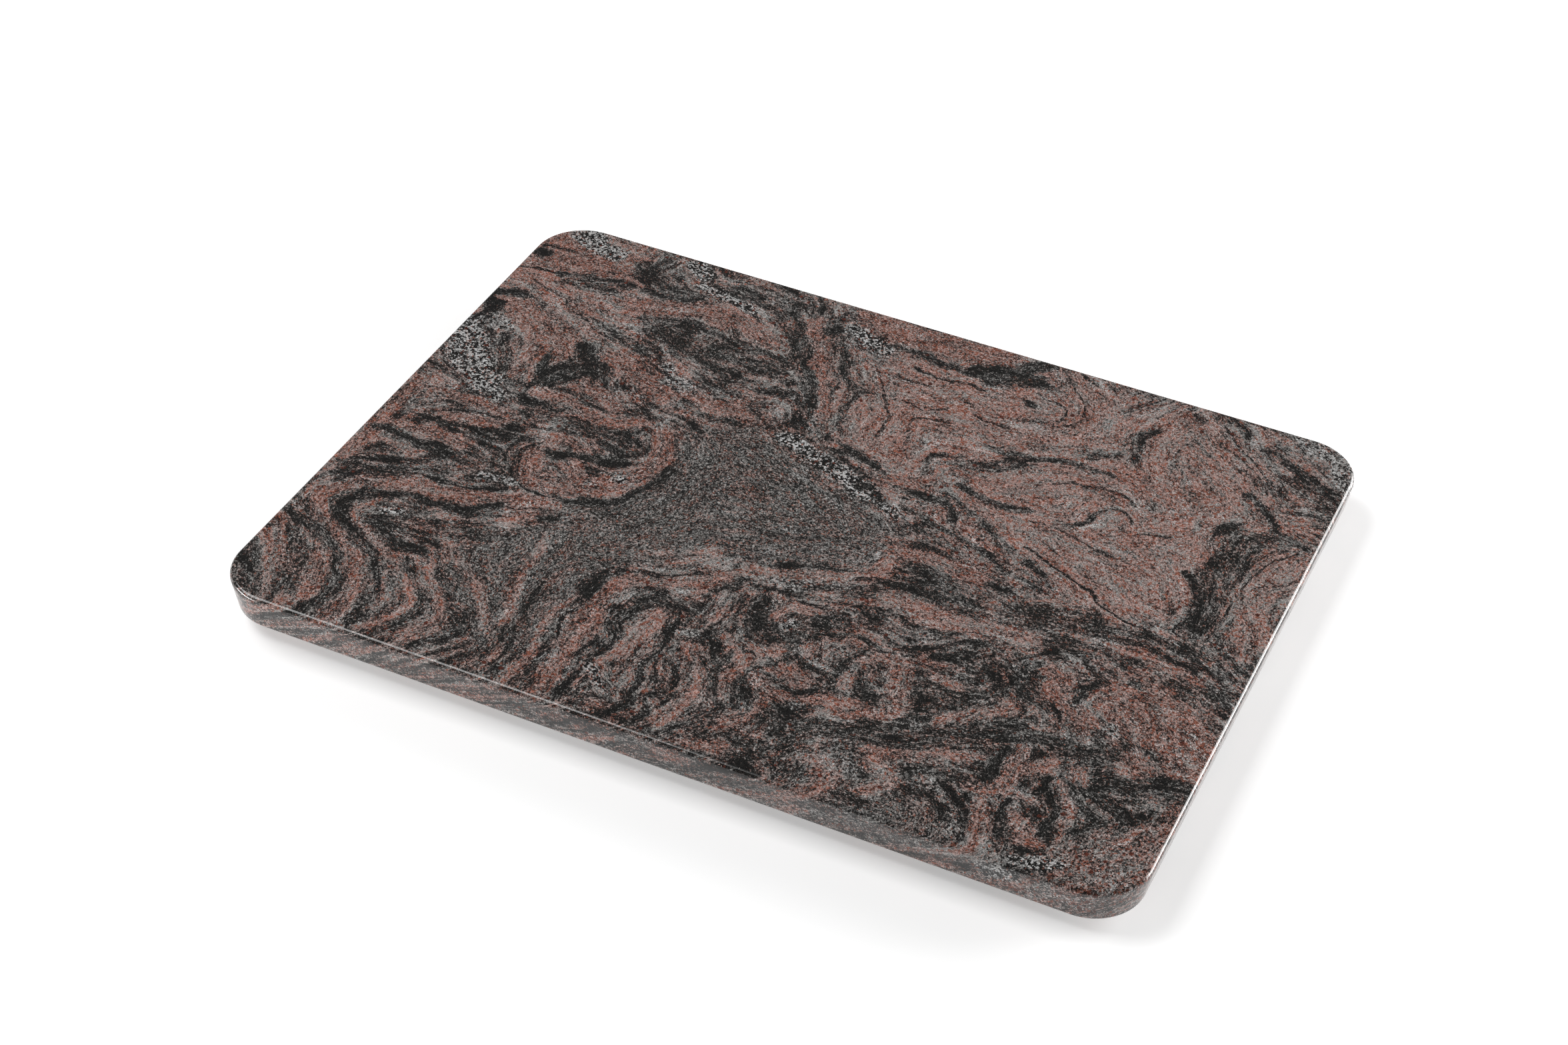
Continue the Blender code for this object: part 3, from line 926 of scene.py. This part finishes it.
def adhesive():
    """Off-white acrylic adhesive."""
    graph = Graph("adhesive")
    place = graph.object_place()
    cloud = graph.noise(place, 420.0, 3.0)[0]
    color = graph.mix(graph.step(cloud, 0.35, 0.65), (0.52, 0.50, 0.44, 1.0), (0.66, 0.64, 0.58, 1.0))
    graph.bump(cloud, 0.4, 0.00008)
    return graph.finish(color, graph.math("MULTIPLY_ADD", cloud, 0.3, 0.35))


def pale_floor():
    """A plain matte studio floor."""
    graph = Graph("pale_floor")
    graph.shader.inputs["Base Color"].default_value = gray(0.88)
    graph.shader.inputs["Roughness"].default_value = 0.9
    graph.shader.inputs["Specular IOR Level"].default_value = 0.1
    graph.shader.inputs["Emission Color"].default_value = gray(1.0)
    graph.shader.inputs["Emission Strength"].default_value = FLOOR_GLOW
    return graph.material


# ---------------------------------------------------------------- the pieces


def add_piece(name, mesh, materials, body="root"):
    """Makes an object of a mesh, which moves with a CAD body."""
    piece = bpy.data.objects.new(name, mesh)
    bpy.context.scene.collection.objects.link(piece)
    for material in materials:
        mesh.materials.append(material)
    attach(piece, body)
    return piece


def add_stone():
    """The stone in place of its plain CAD solid."""
    mesh = slab_mesh()
    lay_bands(mesh)
    stone = add_piece("stone", mesh, [granite(), sawn_granite()])
    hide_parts("granite_slab")


def dress_feet():
    """Gives the feet and their adhesive discs their materials."""
    for piece, material in (("rubber_foot_", rubber()), ("adhesive_disc_", adhesive())):
        for place in FOOT_PLACES:
            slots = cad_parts[piece + place].data.materials
            slots.clear()
            slots.append(material)


# ---------------------------------------------------------------- studio

FLOOR_SIZE = 12.0
FLOOR_GLOW = 0.32
SURROUND = 0.12                  # what lights the slab, and what the camera sees behind it
BACKDROP = 0.90
SOFTBOXES = [
    # name, place, width, height, watts
    ("key", (-2.15, -0.3, 3.0), 2.2, 2.2, 93.0),
    ("card", (-0.75, -0.55, 0.10), 0.5, 0.14, 5.0),
    ("rim", (1.90, 2.0, 0.80), 2.2, 1.5, 105.0),
    ("kicker", (0.85, 0.45, 0.11), 0.5, 0.16, 3.5),
]


def add_floor():
    """A wide pale floor under the feet."""
    mesh = bpy.data.meshes.new("floor")
    half = FLOOR_SIZE / 2
    corners = [(-half, -half, 0), (half, -half, 0), (half, half, 0), (-half, half, 0)]
    mesh.from_pydata(corners, [], [(0, 1, 2, 3)])
    mesh.materials.append(pale_floor())
    floor = bpy.data.objects.new("floor", mesh)
    bpy.context.scene.collection.objects.link(floor)


def add_softbox(name, place, width, height, power):
    """A rectangular soft light that faces the middle of the slab. The camera doesn't see it."""
    lamp = bpy.data.lights.new(name, "AREA")
    lamp.shape = "RECTANGLE"
    lamp.size = width
    lamp.size_y = height
    lamp.energy = power
    box = bpy.data.objects.new(name, lamp)
    box.location = place
    box.rotation_euler = (Vector((0, 0, TOP)) - Vector(place)).to_track_quat("-Z", "Y").to_euler()
    box.visible_camera = False
    bpy.context.scene.collection.objects.link(box)


def add_world():
    """A dim, even surround, which the camera sees as a pale backdrop."""
    world = bpy.data.worlds.new("studio")
    world.use_nodes = True
    tree = world.node_tree
    back = tree.nodes["Background"]
    back.inputs["Color"].default_value = (1.0, 1.0, 1.0, 1.0)
    seen = tree.nodes.new("ShaderNodeLightPath")
    level = tree.nodes.new("ShaderNodeMapRange")
    level.inputs["To Min"].default_value = SURROUND
    level.inputs["To Max"].default_value = BACKDROP
    tree.links.new(seen.outputs["Is Camera Ray"], level.inputs["Value"])
    tree.links.new(level.outputs[0], back.inputs["Strength"])
    bpy.context.scene.world = world


CAMERA_TURN = radians(24.15)     # round from the front towards the right
CAMERA_DOWN = radians(39.58)
CAMERA_ROLL = radians(1.90)
CAMERA_AWAY = 1.2066             # from the middle of the top face
CAMERA_ASIDE = 0.01004           # how far right of the view's middle the slab's middle lies
CAMERA_ABOVE = 0.00268           # and how far above it
LENS_MM = 65.8
SENSOR_MM = 36.0


def add_camera():
    """A camera above the near right of the slab, rolled slightly."""
    turn, down = -CAMERA_TURN, CAMERA_DOWN
    ahead = Vector((sin(turn) * cos(down), cos(turn) * cos(down), -sin(down)))
    level = Vector((cos(turn), -sin(turn), 0))
    upward = level.cross(ahead)
    right = cos(CAMERA_ROLL) * level + sin(CAMERA_ROLL) * upward
    up = cos(CAMERA_ROLL) * upward - sin(CAMERA_ROLL) * level
    middle = Vector((0, 0, TOP))
    data = bpy.data.cameras.new("camera")
    data.lens = LENS_MM
    data.sensor_width = SENSOR_MM
    camera = bpy.data.objects.new("camera", data)
    spin = Matrix((right, up, -ahead)).transposed()
    place = middle - CAMERA_AWAY * ahead - CAMERA_ASIDE * right - CAMERA_ABOVE * up
    camera.matrix_world = Matrix.LocRotScale(place, spin, None)
    bpy.context.scene.collection.objects.link(camera)
    bpy.context.scene.camera = camera


add_camera()
add_stone()
dress_feet()
add_floor()
add_world()
for softbox in SOFTBOXES:
    add_softbox(*softbox)
bpy.context.scene.view_settings.view_transform = "Standard"
